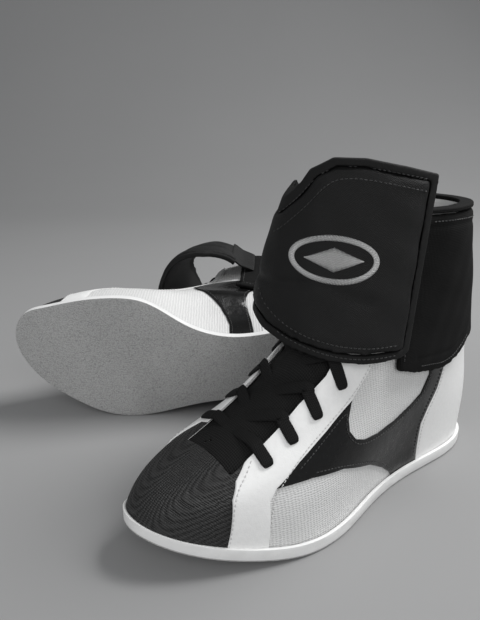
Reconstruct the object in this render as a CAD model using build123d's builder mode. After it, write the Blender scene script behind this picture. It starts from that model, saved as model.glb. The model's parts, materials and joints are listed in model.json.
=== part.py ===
from build123d import *
import os
from math import sqrt

# A pair of lace-up boxing boots with padded ankle cuffs and hook-and-loop straps.
# The left boot stands on its sole; the right boot lies beside it on its lateral side.
# Every piece is drawn once, for the left boot, in the boot's own frame:
# X from heel to toe, +Y lateral (little-toe side), Z up from the ground, origin under the heel.

# ---------------------------------------------------------------- driving dimensions (mm)
SOLE_LENGTH = 285.0
TOE_TIP = (283.0, -11.0)     # the tip lies towards the big toe
SPRING_START_X = 185.0       # the sole curls up from here to the toe tip
SPRING_HEIGHT = 21.0
PROFILE_START_X = -40.0      # cutting profiles run past heel and toe
PROFILE_END_X = 310.0
SIDE_REACH = 120.0           # cutting profiles run past both sides
HIGH_Z = 260.0               # and past the top of the strap

OUTSOLE_TOP = 3.2
BOARD_TOP = 5.3
INSOLE_TOP = 8.4
TREAD_EDGE = 0.7             # the tread runs out to the sole's edge under the rim
RIM_BOTTOM = 0.8
RIM_TOP = 7.6
RIM_WIDTH = 2.1
UPPER_INSET = 6.5            # inner surface of the upper, inside the sole's edge
BOARD_INSET = 8.5
GAP = 0.1                    # clearance between glued or sewn layers

LINING = (0.0, 1.2)          # layer depths, outwards from the inner surface
BASE = (1.3, 2.6)
OVERLAY = (2.7, 3.7)
CUFF = (3.8, 8.0)
BINDING = (-0.6, 8.6)
TONGUE = (-5.2, -2.1)
COLLAR_Z = 184.0
BINDING_HEIGHT = 3.0

LACE_WIDTH = 7.0
LACE_THICKNESS = 1.2
THROAT_HALF_WIDTH = 21.0
AGLET_LENGTH = 18.0
AGLET_RADIUS = 1.6

STRAP_BACKING = (0.0, 1.0)   # strap layers, outwards from the strap's inner face
STRAP_PAD = (1.1, 5.6)
STRAP_EDGE = (0.0, 4.6)
STRAP_HOOK = (-0.9, -0.1)
STRAP_MOTIF = (5.7, 6.5)
STRAP_FACING = (0.643, 0.766)  # direction that the strap's panel faces, seen from above
STRAP_BORDER = 5.0

# ---------------------------------------------------------------- where the two boots stand
LEFT_PLACE = Pos(0, 0, 0) * Rot(Z=218.6)
RIGHT_PLACE = (
    Pos(-69.6, 11.6, 0) * Rot(Z=1.6) * Rot(X=1.5) * Rot(Y=1.3)
    * Plane((0, 0, 0), x_dir=(-1, 0, 0), z_dir=(0, 1, 0)).location
)

# ---------------------------------------------------------------- sole outline: x, lateral y, medial y
OUTLINE = [
    (6, 18.6, -17.8),
    (25, 30.2, -28.8),
    (60, 34.3, -27.0),
    (100, 34.9, -20.5),
    (140, 41.9, -29.9),
    (175, 50.3, -49.5),
    (205, 49.2, -51.6),
    (232, 39.6, -46.8),
    (256, 27.3, -39.5),
    (273, 13.0, -32.0),
]

# Sections through the upper, from the sole to above the collar. Each lies on a plane that
# holds its back point and its front point: back x, back z, front x, front z, share of the
# sole's own outline, lateral half widths and medial half widths at heel, waist and ball, and
# how far the toe leans to the medial side.
STATIONS = [
    (6.5, -6, 276.5, -6, 1.0, (28, 34, 42), (27, 29, 45), 0),
    (6.5, 8, 277, 8, 1.0, (28, 34, 42), (27, 29, 45), 0),
    (1, 28, 276.5, 25, 0.75, (28, 34, 42), (27, 29, 45), 8),
    (-2, 48, 269, 40, 0.4, (28, 35, 40), (27, 35, 43), 8),
    (-1, 68, 250, 51, 0.0, (28, 34, 38), (26.5, 35, 39), 7),
    (3, 86, 227, 61, 0.0, (28, 33, 33), (26.5, 34, 34), 5),
    (8, 103, 204, 73, 0.0, (28, 33, 30), (27, 33, 30.5), 3),
    (13, 119, 180, 89, 0.0, (28.5, 33, 28.5), (28, 33, 29), 1.5),
    (17, 134, 157, 107, 0.0, (29, 33, 28), (29, 33, 28), 0),
    (22, 148, 138, 127, 0.0, (29, 33.5, 28), (29, 33.5, 28), 0),
    (27, 161, 127, 147, 0.0, (29, 33.5, 28), (29, 33.5, 28), 0),
    (30, 173, 121, 167, 0.0, (28.5, 33.5, 28.5), (28.5, 33.5, 28.5), 0),
    (32, 184, 119, 184, 0.0, (28, 33, 28), (28, 33, 28), 0),
    (32.5, 196, 118.5, 196, 0.0, (28, 33, 28), (28, 33, 28), 0),
]
WIDTH_AT = (0.12, 0.45, 0.75)  # where along a section the three half widths are
TOE_LEAN_FROM = 0.4
SEAM = 2                       # sections start beside the heel, clear of the centre plane

# Lace rows from the toe up: x and z of a line across the throat, the direction in which the
# surface is found from it, and how far the holes and the throat edge are from the centre line.
DOWN = (0, 0, -1)
BACK = (-1, 0, 0)
LACE_ROWS = [
    (216, 90, DOWN, 29.5, 20),
    (197, 100, DOWN, 29.5, 20),
    (178, 110, DOWN, 29.5, 20),
    (158, 130, DOWN, 29.5, 20),
    (190, 118, BACK, 22.5, 17),
    (190, 136, BACK, 22.5, 17),
    (190, 155, BACK, 22.5, 17),
]
TUCK_ROW = 4                 # the lace's two ends are tucked back down to this row
TUCK_Y = 7.0

# Strap: its inner face seen from above, from the lateral end round the front to the sewn
# medial edge, at three heights.
STRAP_SECTIONS = [
    (90, [(114, 41.5), (133, 41), (151, 34), (166, 20.5), (174, -2), (173, -24), (164, -45),
          (140, -58), (118, -57.5), (102, -50)]),
    (152, [(103, 39.5), (120, 36.5), (138, 24.5), (152, 5), (159, -18), (156, -38), (142, -51),
           (124, -55), (108, -52), (99, -46.5)]),
    (222, [(91, 38), (106, 32.5), (120, 19.5), (131, 3), (136, -14), (131, -31), (122, -40),
           (110, -44.5), (101, -44.5), (94, -43)]),
]


# ---------------------------------------------------------------- outlines and sections
def offset_loop(points, distance):
    """Move a closed loop of 2-D points outwards."""
    moved = []
    count = len(points)
    for i in range(count):
        before = Vector(*points[i - 1])
        after = Vector(*points[(i + 1) % count])
        along = (after - before).normalized()
        moved.append((points[i][0] - along.Y * distance, points[i][1] + along.X * distance))
    return moved


def outline_points(distance=0.0):
    """The sole's outline, round the lateral side and back, moved outwards."""
    lateral = [(x, y) for x, y, _ in OUTLINE]
    medial = [(x, y) for x, _, y in reversed(OUTLINE)]
    return offset_loop([(0, 0)] + lateral + [TOE_TIP] + medial, distance)


def half_width(share, widths):
    """Half width of a section at a share of its length: a blunt oval times its three widths."""
    near, middle, far = WIDTH_AT
    if share <= near:
        width = widths[0]
    elif share <= middle:
        width = widths[0] + (widths[1] - widths[0]) * (share - near) / (middle - near)
    elif share <= far:
        width = widths[1] + (widths[2] - widths[1]) * (share - middle) / (far - middle)
    else:
        width = widths[2]
    return width * sqrt(max(0.0, 1 - (2 * share - 1) ** 4))


def section_points(station, distance):
    """One section of the upper in its own plane: distance from its back point, and y."""
    back_x, back_z, front_x, front_z, outline_share, lateral, medial, lean = station
    length = sqrt((front_x - back_x) ** 2 + (front_z - back_z) ** 2)
    shares = [x / SOLE_LENGTH for x, _, _ in OUTLINE]
    rows = [(0.0, 0)] + [(s, 1) for s in shares] + [(1.0, 0)] + [(s, -1) for s in reversed(shares)]
    sole = outline_points(-UPPER_INSET)
    sole_length = TOE_TIP[0] - 2 * UPPER_INSET
    points = []
    for (share, side), (sole_x, sole_y) in zip(rows, sole):
        widths = lateral if side > 0 else medial
        shift = lean * max(0.0, (share - TOE_LEAN_FROM) / (1 - TOE_LEAN_FROM)) ** 2
        oval_y = side * half_width(share, widths) - shift
        sole_share = (sole_x - UPPER_INSET) / sole_length
        along = outline_share * sole_share + (1 - outline_share) * share
        across = outline_share * sole_y + (1 - outline_share) * oval_y
        points.append((along * length, across))
    moved = offset_loop(points, distance)
    return moved[SEAM:] + moved[:SEAM]


def station_plane(station):
    back_x, back_z, front_x, front_z = station[:4]
    rise = Vector(front_x - back_x, 0, front_z - back_z).normalized()
    return Plane((back_x, 0, back_z), x_dir=rise, z_dir=(-rise.Z, 0, rise.X))


def section_knots():
    """Each point's share of the way round a section, averaged over the sections."""
    shares = []
    for station in STATIONS:
        loop = [Vector(*point) for point in section_points(station, 0)]
        steps = [(after - before).length for before, after in zip(loop, loop[1:] + loop[:1])]
        shares.append([sum(steps[:i]) / sum(steps) for i in range(len(steps) + 1)])
    return [sum(column) / len(shares) for column in zip(*shares)]


def upper_form(distance):
    """The solid inside the upper at a layer depth, from below the sole to above the collar."""
    knots = section_knots()
    with BuildPart() as form:
        for station in STATIONS:
            with BuildSketch(station_plane(station)):
                with BuildLine():
                    points = section_points(station, distance)
                    add(Edge.make_spline(points, periodic=True, parameters=knots))
                make_face()
        loft()
    return form.part


def side_prism(points, side=0):
    """A side-view outline carried across the boot, or over one side of it only."""
    with BuildPart() as prism:
        with BuildSketch(Plane.XZ):
            with BuildLine():
                Polyline(*points, close=True)
            make_face()
        if side == 0:
            extrude(amount=SIDE_REACH, both=True)
        else:
            extrude(amount=-SIDE_REACH * side)
    return prism.part


def top_prism(points, low, high):
    """A top-view outline carried from one height to another."""
    with BuildPart() as prism:
        with BuildSketch(Plane.XY.offset(low)):
            with BuildLine():
                Polyline(*points, close=True)
            make_face()
        extrude(amount=high - low)
    return prism.part


def sole_slab(low, high):
    """Everything between two heights above the tread, following the toe spring."""
    run = PROFILE_END_X - SPRING_START_X
    rise = SPRING_HEIGHT * (run / (TOE_TIP[0] - SPRING_START_X)) ** 2
    middle_x = SPRING_START_X + run / 2
    with BuildPart() as slab:
        with BuildSketch(Plane.XZ):
            with BuildLine():
                Line((PROFILE_START_X, low), (SPRING_START_X, low))
                Bezier((SPRING_START_X, low), (middle_x, low), (PROFILE_END_X, low + rise))
                Line((PROFILE_END_X, low + rise), (PROFILE_END_X, high + rise))
                Bezier((PROFILE_END_X, high + rise), (middle_x, high), (SPRING_START_X, high))
                Line((SPRING_START_X, high), (PROFILE_START_X, high))
                Line((PROFILE_START_X, high), (PROFILE_START_X, low))
            make_face()
        extrude(amount=SIDE_REACH, both=True)
    return slab.part


def outline_prism(distance):
    with BuildPart() as prism:
        with BuildSketch(Plane.XY.offset(-10)):
            with BuildLine():
                Spline(*outline_points(distance), periodic=True)
            make_face()
        extrude(amount=80)
    return prism.part


# ---------------------------------------------------------------- cutting shapes shared by the pieces
forms = {depth: upper_form(depth) for depth in
         sorted({*LINING, *BASE, *OVERLAY, *CUFF, *BINDING, *TONGUE})}
above_sole = sole_slab(OUTSOLE_TOP + GAP, HIGH_Z)
below_collar = side_prism([(-60, -20), (PROFILE_END_X, -20), (PROFILE_END_X, COLLAR_Z),
                           (-60, COLLAR_Z)])

# The open throat, seen from above: from the shaft's front down to the toe vamp.
throat_side = [(60, 15), (122, 16), (140, 20), (165, 23), (185, THROAT_HALF_WIDTH),
               (236, THROAT_HALF_WIDTH)]
throat = top_prism(throat_side + [(x, -y) for x, y in reversed(throat_side)], 30, HIGH_Z)

# Side-view outlines of the sewn panels.
VAMP_EDGE = [(216, 90), (216, 60), (230, 47), (237, 28), (239, -10)]
MESH_TOP_LATERAL = [(216, 52), (190, 51), (160, 46), (132, 36), (110, 22), (92, -10)]
MESH_TOP_MEDIAL = [(216, 52), (200, 60), (176, 71), (154, 83), (140, 86), (128, 72), (118, 60),
                   (108, 50), (100, 40), (96, 20), (94, -10)]
COUNTER_EDGE = [(62, 72), (68, 40), (70, -10)]
vamp_zone = side_prism(VAMP_EDGE + [(PROFILE_END_X, -10), (PROFILE_END_X, 90)])
counter_zone = side_prism(COUNTER_EDGE + [(-60, -10), (-60, 72)])
SIDE_MESH_FRONT = [(239, -10), (237, 28), (230, 47)]
ANKLE_REAR = [(70, -10), (68, 40), (62, 72), (-60, 72), (-60, 200), (216, 200), (216, 60)]
EYESTAY_REAR = [(225, -10), (224, 10), (222, 28), (221, 38), (216, 44), (198, 54), (174, 65),
                (152, 77), (138, 90), (127, 105), (117, 125), (110, 150), (106, 200)]
EYESTAY_FRONT = [(222, 200), (221, 60), (228, 55), (235, 50), (240, 42), (243, 25),
                 (246, 12), (247, -10)]
SADDLE_LATERAL = [(216, 44), (198, 54), (174, 65), (152, 77), (157, 67), (158, 60), (154, 54),
                  (146, 51), (132, 50), (114, 52), (96, 57), (84, 62), (75, 73), (73, 98),
                  (54, 98), (56, 72), (62, 59), (71, 47), (77, 36), (78, 21), (79, -10),
                  (98, -10), (104, 3), (110, 11), (120, 19), (138, 30), (168, 41), (193, 44),
                  (207, 44)]
SADDLE_MEDIAL = [(102, -10), (105, 8), (105, 27), (108, 36), (113, 45), (119, 51), (126, 58),
                 (134, 70), (138, 90), (127, 105), (120, 108), (80, 108), (82, 84), (87, 70),
                 (90, 58), (90, 51), (88, 42), (86, 31), (85, 18), (85, -10)]
HEEL_COVER = [(53.5, 98), (55.5, 72), (61.5, 59), (70.5, 47), (76.5, 36), (77.5, 21),
              (78.5, -10), (-60, -10), (-60, 98)]
TONGUE_REAR = [(250, 47), (215, 54), (170, 68), (142, 84), (118, 106), (101, 135),
               (92, 165), (90, 188)]
CUFF_BOTTOM = [(-60, 88), (25, 84), (42, 78), (63, 75), (81, 78), (100, 82)]
CUFF_FRONT_LATERAL = [(117, 88), (113, 120), (108, 150), (104, 172), (102, 200)]
CUFF_FRONT_MEDIAL = [(96, 86), (94, 120), (92, 150), (90, 172), (89, 200)]
cuff_zone_lateral = side_prism(CUFF_BOTTOM + CUFF_FRONT_LATERAL + [(-60, 200)], side=1)
cuff_zone_medial = side_prism(CUFF_BOTTOM + CUFF_FRONT_MEDIAL + [(-60, 200)], side=-1)
binding_zone = side_prism([(-60, COLLAR_Z + GAP), (PROFILE_END_X, COLLAR_Z + GAP),
                           (PROFILE_END_X, COLLAR_Z + BINDING_HEIGHT),
                           (-60, COLLAR_Z + BINDING_HEIGHT)])


def layer(depths):
    """The closed wall between two layer depths, standing on the outsole."""
    inner, outer = depths
    with BuildPart() as wall:
        add(forms[outer])
        add(forms[inner], mode=Mode.SUBTRACT)
        add(above_sole, mode=Mode.INTERSECT)
    return wall.part


# ---------------------------------------------------------------- sole
with BuildPart() as outsole:
    add(outline_prism(-RIM_WIDTH - GAP) & sole_slab(0, OUTSOLE_TOP))
    add(outline_prism(0) & sole_slab(0, TREAD_EDGE))

with BuildPart() as sole_rim:
    add(outline_prism(0))
    add(outline_prism(-RIM_WIDTH), mode=Mode.SUBTRACT)
    add(sole_slab(RIM_BOTTOM, RIM_TOP), mode=Mode.INTERSECT)

with BuildPart() as lasting_board:
    add(outline_prism(-BOARD_INSET))
    add(sole_slab(OUTSOLE_TOP + GAP, BOARD_TOP), mode=Mode.INTERSECT)

with BuildPart() as insole:
    add(forms[BINDING[0]])
    add(sole_slab(BOARD_TOP + GAP, INSOLE_TOP), mode=Mode.INTERSECT)

# ---------------------------------------------------------------- upper, inside to outside
with BuildPart() as lining:
    add(layer(LINING))
    add(below_collar, mode=Mode.INTERSECT)
    add(throat, mode=Mode.SUBTRACT)

base_wall = layer(BASE)
overlay_wall = layer(OVERLAY)


def panel(wall, zone, side=0):
    """The part of a wall inside a side-view zone, on one side of the boot or on both."""
    half = top_prism([(-60, 0), (PROFILE_END_X, 0), (PROFILE_END_X, side * SIDE_REACH),
                      (-60, side * SIDE_REACH)], -20, HIGH_Z) if side else None
    with BuildPart() as piece:
        add(wall)
        if half:
            add(half, mode=Mode.INTERSECT)
        add(zone, mode=Mode.INTERSECT)
        add(throat, mode=Mode.SUBTRACT)
        add(below_collar, mode=Mode.INTERSECT)
    return piece.part


toe_vamp = panel(base_wall, vamp_zone)
heel_counter = panel(base_wall, counter_zone)
heel_cover = panel(overlay_wall, side_prism(HEEL_COVER))
eyestay_zone = side_prism(EYESTAY_REAR + EYESTAY_FRONT)
upper_pieces = {"toe_vamp": toe_vamp, "heel_counter": heel_counter, "heel_cover": heel_cover}
for side_name, side, mesh_top, saddle in (("lateral", 1, MESH_TOP_LATERAL, SADDLE_LATERAL),
                                          ("medial", -1, MESH_TOP_MEDIAL, SADDLE_MEDIAL)):
    side_mesh_zone = side_prism(mesh_top + SIDE_MESH_FRONT)
    ankle_zone = side_prism(ANKLE_REAR + mesh_top)
    upper_pieces[f"side_mesh_{side_name}"] = panel(base_wall, side_mesh_zone, side)
    upper_pieces[f"ankle_mesh_{side_name}"] = panel(base_wall, ankle_zone, side)
    upper_pieces[f"eyestay_{side_name}"] = panel(overlay_wall, eyestay_zone, side)
    upper_pieces[f"saddle_{side_name}"] = panel(overlay_wall, side_prism(saddle), side)

with BuildPart() as tongue:
    add(forms[TONGUE[1]])
    add(forms[TONGUE[0]], mode=Mode.SUBTRACT)
    add(side_prism(TONGUE_REAR + [(PROFILE_END_X, 188), (PROFILE_END_X, 47)]),
        mode=Mode.INTERSECT)


# ---------------------------------------------------------------- ankle cuff
def cuff_shell(depths):
    """A C-shaped wall round the ankle, open at the front."""
    inner, outer = depths
    with BuildPart() as shell:
        add(forms[outer])
        add(forms[inner], mode=Mode.SUBTRACT)
        add(cuff_zone_lateral + cuff_zone_medial, mode=Mode.INTERSECT)
    return shell.part


with BuildPart() as cuff:
    add(cuff_shell(CUFF))
    add(below_collar, mode=Mode.INTERSECT)

with BuildPart() as cuff_binding:
    add(cuff_shell(BINDING))
    add(binding_zone, mode=Mode.INTERSECT)

# ---------------------------------------------------------------- lace
def surface_point(depth, row, across):
    """Point and outward normal on a layer where a line across the throat meets it."""
    start_x, start_z, direction = LACE_ROWS[row][:3]
    seen_from = Vector(start_x, across, start_z)
    ahead = Vector(*direction)
    hits = forms[depth].find_intersection_points(Axis(seen_from, direction))
    hits = [hit for hit in hits if (hit[0] - seen_from).dot(ahead) > 0]
    point, normal = min(hits, key=lambda hit: (hit[0] - seen_from).length)
    facing = normal if normal.dot(ahead) < 0 else -normal
    return point, facing


def lace_point(row, side, at_hole, on_top):
    """Middle of the lace over or under the eyestay, at a hole or at the throat edge."""
    hole_y, edge_y = LACE_ROWS[row][3:]
    depth = OVERLAY[1] if on_top else LINING[0]
    point, facing = surface_point(depth, row, side * (hole_y if at_hole else edge_y))
    lift = LACE_THICKNESS / 2 + GAP
    return point + facing * (lift if on_top else -lift), facing


def lace_run(start, end, overlap):
    """Place and length of a flat length of lace between two points with their normals."""
    (start_at, start_up), (end_at, end_up) = start, end
    along = (end_at - start_at).normalized()
    up = start_up + end_up
    level = (up - along * up.dot(along)).normalized()
    place = Plane((start_at + end_at) * 0.5, x_dir=along, z_dir=level)
    return place, (end_at - start_at).length + overlap


def lace_runs():
    """The lace's runs: up through each hole, over the eyestay, across and under the other one."""
    runs = []
    for row in range(len(LACE_ROWS)):
        for side in (1, -1):
            hole_top = lace_point(row, side, True, True)
            hole_low = lace_point(row, side, True, False)
            edge_top = lace_point(row, side, False, True)
            across = (edge_top[0] - hole_top[0]).normalized()
            runs.append(lace_run(hole_top, edge_top, LACE_WIDTH / 2))
            runs.append(lace_run((hole_low[0], across), (hole_top[0], across), 0))
            if row + 1 < len(LACE_ROWS):
                far_edge = lace_point(row + 1, -side, False, False)
                far_hole = lace_point(row + 1, -side, True, False)
                runs.append(lace_run(edge_top, far_edge, LACE_THICKNESS))
                runs.append(lace_run(far_edge, far_hole, LACE_THICKNESS))
            else:
                runs.append(lace_run(edge_top, tuck_end(side), LACE_THICKNESS))
    return runs


def tuck_end(side):
    """Where a lace end meets its aglet, on top of the crossings."""
    point, facing = surface_point(OVERLAY[1], TUCK_ROW, side * TUCK_Y)
    return point + facing * (2 * LACE_THICKNESS + GAP), facing


with BuildPart() as lace:
    for place, length in lace_runs():
        with Locations(place):
            Box(length, LACE_WIDTH, LACE_THICKNESS)

with BuildPart() as lace_aglets:
    for side in (1, -1):
        top = lace_point(len(LACE_ROWS) - 1, side, False, True)[0]
        end = tuck_end(side)[0]
        along = (end - top).normalized()
        with Locations(Plane(end + along * (AGLET_LENGTH / 2 + 1), z_dir=along)):
            Cylinder(AGLET_RADIUS, AGLET_LENGTH)


# ---------------------------------------------------------------- strap
def strap_ribbon(depths):
    """The strap's whole width and height between two depths from its inner face."""
    inner, outer = depths
    with BuildPart() as ribbon:
        for height, points in STRAP_SECTIONS:
            near = open_offset(points, inner)
            far = open_offset(points, outer)
            with BuildSketch(Plane.XY.offset(height)):
                with BuildLine():
                    Spline(*near)
                    Line(near[-1], far[-1])
                    Spline(*reversed(far))
                    Line(far[0], near[0])
                make_face()
        loft()
    return ribbon.part


def open_offset(points, distance):
    """Move an open run of points to its left, away from the shaft."""
    moved = []
    for i, point in enumerate(points):
        before = Vector(*points[max(i - 1, 0)])
        after = Vector(*points[min(i + 1, len(points) - 1)])
        along = (after - before).normalized()
        moved.append((point[0] - along.Y * distance, point[1] + along.X * distance))
    return moved


face_x, face_y = STRAP_FACING
strap_view = Plane((0, 0, 0), x_dir=(-face_y, face_x, 0), z_dir=(face_x, face_y, 0))
# Panel outline in that view: across (lateral end to the right), height.
STRAP_OUTLINE = [(-60.2, 104), (-66, 101), (-90, 100.5), (-112, 102.5), (-134, 106.5),
                 (-150, 112), (-165, 126), (-165, 165), (-145, 183), (-131, 197), (-121, 210),
                 (-108, 217.5), (-90, 217.5), (-66, 213), (-47.3, 208.5)]
# The sewn, medial side narrows to a neck, seen from the side: x, height.
NECK_OUTLINE = [(80, 118), (104, 116), (128, 108), (150, 98), (200, 90), (200, 240), (134, 240),
                (129, 201), (118, 193), (104, 188), (80, 186)]
LATERAL_OUTLINE = [(60, 60), (200, 60), (200, 240), (60, 240)]


def strap_outline(shrink):
    """Everything inside the strap's edge, less a border."""
    with BuildPart() as panel_side:
        with BuildSketch(strap_view):
            with BuildLine():
                Polyline(*STRAP_OUTLINE, close=True)
            make_face()
            if shrink:
                offset(amount=-shrink, kind=Kind.INTERSECTION)
        extrude(amount=300, both=True)
    with BuildPart() as neck_side:
        with BuildSketch(Plane.XZ):
            with BuildLine():
                Polyline(*NECK_OUTLINE, close=True)
            make_face()
            if shrink:
                offset(amount=-shrink, kind=Kind.INTERSECTION)
        extrude(amount=SIDE_REACH)
        add(side_prism(LATERAL_OUTLINE, side=1))
    return panel_side.part & neck_side.part


strap_inside = strap_outline(STRAP_BORDER)
strap_whole = strap_outline(0)

with BuildPart() as strap_pad:
    add(strap_ribbon(STRAP_PAD))
    add(strap_inside, mode=Mode.INTERSECT)

with BuildPart() as strap_backing:
    add(strap_ribbon(STRAP_BACKING))
    add(strap_inside, mode=Mode.INTERSECT)

with BuildPart() as strap_binding:
    add(strap_ribbon(STRAP_EDGE))
    add(strap_whole, mode=Mode.INTERSECT)
    add(strap_outline(STRAP_BORDER - GAP), mode=Mode.SUBTRACT)

PANEL_CLEAR = 65.0           # between the strap's sewn side and its panel, in that view

# Hook tape on the inner face of the free end, facing the loop patch on the cuff.
HOOK_OUTLINE = [(-40, 112), (-72, 112), (-66, 172), (-34, 172)]
with BuildPart() as strap_hook:
    with BuildSketch(strap_view.offset(PANEL_CLEAR)):
        with BuildLine():
            Polyline(*HOOK_OUTLINE, close=True)
        make_face()
    extrude(amount=SIDE_REACH)
    add(strap_ribbon(STRAP_HOOK), mode=Mode.INTERSECT)
    add(strap_inside, mode=Mode.INTERSECT)

# A plain sewn motif: a lozenge inside an oval ring.
MOTIF_AT = (-108, 160)
MOTIF_LENGTH = 52.0
MOTIF_HEIGHT = 28.0
MOTIF_RING = 3.0
with BuildPart() as strap_motif:
    with BuildSketch(strap_view.offset(PANEL_CLEAR)):
        with Locations(MOTIF_AT):
            Ellipse(MOTIF_LENGTH / 2, MOTIF_HEIGHT / 2)
            Ellipse(MOTIF_LENGTH / 2 - MOTIF_RING, MOTIF_HEIGHT / 2 - MOTIF_RING, mode=Mode.SUBTRACT)
            with BuildLine():
                Polyline((-MOTIF_LENGTH / 3, 0), (0, -MOTIF_HEIGHT / 4), (MOTIF_LENGTH / 3, 0),
                         (0, MOTIF_HEIGHT / 4), close=True)
            make_face()
    extrude(amount=SIDE_REACH)
    add(strap_ribbon(STRAP_MOTIF), mode=Mode.INTERSECT)

# ---------------------------------------------------------------- the pair
PIECES = {
    "outsole": outsole.part,
    "sole_rim": sole_rim.part,
    "lasting_board": lasting_board.part,
    "insole": insole.part,
    "lining": lining.part,
    **upper_pieces,
    "tongue": tongue.part,
    "cuff": cuff.part,
    "cuff_binding": cuff_binding.part,
    "lace": lace.part,
    "lace_aglets": lace_aglets.part,
    "strap_pad": strap_pad.part,
    "strap_backing": strap_backing.part,
    "strap_binding": strap_binding.part,
    "strap_hook": strap_hook.part,
    "strap_motif": strap_motif.part,
}

placed = {}
for name, piece in PIECES.items():
    placed[f"left_{name}"] = LEFT_PLACE * piece
    placed[f"right_{name}"] = RIGHT_PLACE * mirror(piece, about=Plane.XZ)

# The right boot rests on the ground, and the pair's middle is over the origin.
boxes = {name: piece.bounding_box() for name, piece in placed.items()}
right_low = min(box.min.Z for name, box in boxes.items() if name.startswith("right_"))
middle_x = (min(box.min.X for box in boxes.values()) + max(box.max.X for box in boxes.values())) / 2
middle_y = (min(box.min.Y for box in boxes.values()) + max(box.max.Y for box in boxes.values())) / 2
LEFT_SHIFT = Pos(-middle_x, -middle_y, 0)
RIGHT_SHIFT = Pos(-middle_x, -middle_y, -right_low)
print("left boot shift", LEFT_SHIFT.position, "right boot shift", RIGHT_SHIFT.position)

os.makedirs("parts", exist_ok=True)
for name, piece in placed.items():
    piece = (LEFT_SHIFT if name.startswith("left_") else RIGHT_SHIFT) * piece
    piece.label = name
    export_step(piece, f"parts/{name}.step")
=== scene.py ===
import json
import math

import bmesh
import bpy
import numpy as np
from mathutils import Matrix, Vector
from mathutils.bvhtree import BVHTree


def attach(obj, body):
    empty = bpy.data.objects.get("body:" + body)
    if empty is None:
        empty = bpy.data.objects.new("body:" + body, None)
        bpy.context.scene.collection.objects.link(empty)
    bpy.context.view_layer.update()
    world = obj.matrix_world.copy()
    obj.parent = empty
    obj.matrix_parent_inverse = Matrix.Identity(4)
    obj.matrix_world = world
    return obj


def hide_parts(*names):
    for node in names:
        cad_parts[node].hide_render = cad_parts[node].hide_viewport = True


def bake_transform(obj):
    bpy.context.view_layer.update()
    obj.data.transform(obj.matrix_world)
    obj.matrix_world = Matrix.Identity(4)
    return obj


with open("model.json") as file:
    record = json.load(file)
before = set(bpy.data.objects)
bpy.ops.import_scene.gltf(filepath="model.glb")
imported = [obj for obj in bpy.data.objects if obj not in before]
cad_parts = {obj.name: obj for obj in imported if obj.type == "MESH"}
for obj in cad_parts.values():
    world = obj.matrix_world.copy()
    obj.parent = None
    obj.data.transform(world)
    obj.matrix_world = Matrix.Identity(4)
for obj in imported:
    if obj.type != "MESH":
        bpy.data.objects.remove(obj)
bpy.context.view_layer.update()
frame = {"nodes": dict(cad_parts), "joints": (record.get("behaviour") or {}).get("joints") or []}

MM = 0.001

# Sizes below are in mm, in the left boot's own frame: x from heel to toe, y to the lateral side.
STITCH_PITCH = 2.7
STITCH_LENGTH = 1.9
STITCH_RADIUS = 0.32
LACE_WIDTH = 7.6
LACE_THICKNESS = 1.9
FACING_X, FACING_Y = 0.643, 0.766      # direction that the strap's panel faces, seen from above
BEYOND_STRAP = 190                     # clear of the strap, where rays towards it start
BEYOND_SIDE = 90                       # clear of the boot's side, where rays towards it start

# ------------------------------------------------------------------ where each boot stands
HINGES = {joint["child"]: joint for joint in frame["joints"]}
LEFT_HINGE = (97.5, -52.0, 152.0)      # the left strap's hinge


def turn(degrees, axis):
    return Matrix.Rotation(math.radians(degrees), 4, axis)


def boot_places():
    """Matrices from the left boot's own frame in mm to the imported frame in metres, for each boot."""
    lying = Matrix(((-1, 0, 0, 0), (0, 0, 1, 0), (0, 1, 0, 0), (0, 0, 0, 1)))
    turns = {
        "left": turn(218.6, "Z"),
        "right": (turn(1.6, "Z") @ turn(1.5, "X") @ turn(1.3, "Y") @ lying
                  @ Matrix.Diagonal((1, -1, 1, 1))),
    }
    places = {}
    for boot, turned in turns.items():
        hinge = Vector(HINGES[f"{boot}_strap"]["pos_m"])
        local = Matrix.Scale(MM, 4) @ turned
        places[boot] = Matrix.Translation(hinge - (local @ Vector(LEFT_HINGE))) @ local
    return places


PLACES = boot_places()
TO_LOCAL = PLACES["left"].inverted()


# ------------------------------------------------------------------ materials
def shader(name, color, roughness, **sockets):
    """A Principled material with its constants set on its own sockets."""
    made = bpy.data.materials.new(name)
    made.use_nodes = True
    tree = made.node_tree
    principled = tree.nodes["Principled BSDF"]
    principled.inputs["Base Color"].default_value = (*color, 1)
    principled.inputs["Roughness"].default_value = roughness
    for socket, value in sockets.items():
        principled.inputs[socket.replace("_", " ")].default_value = value
    return made, tree, principled


def link(tree, source, target):
    tree.links.new(source, target)


def calc(tree, operation, a, b=None):
    node = tree.nodes.new("ShaderNodeMath")
    node.operation = operation
    for index, value in enumerate((a, b)):
        if value is None:
            continue
        if isinstance(value, (int, float)):
            node.inputs[index].default_value = value
        else:
            link(tree, value, node.inputs[index])
    return node.outputs[0]


def surface_mm(tree):
    """The piece's own flat coordinates in millimetres: as a vector, and each alone."""
    node = tree.nodes.new("ShaderNodeUVMap")
    node.uv_map = "weave"
    split = tree.nodes.new("ShaderNodeSeparateXYZ")
    link(tree, node.outputs[0], split.inputs[0])
    return node.outputs[0], split.outputs[0], split.outputs[1]


def ribs(tree, u, v, angle, pitch):
    """Parallel waves from -1 to 1 at an angle across the surface."""
    along_u = calc(tree, "MULTIPLY", u, math.cos(math.radians(angle)) * 2 * math.pi / pitch)
    along_v = calc(tree, "MULTIPLY", v, math.sin(math.radians(angle)) * 2 * math.pi / pitch)
    return calc(tree, "SINE", calc(tree, "ADD", along_u, along_v))


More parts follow.
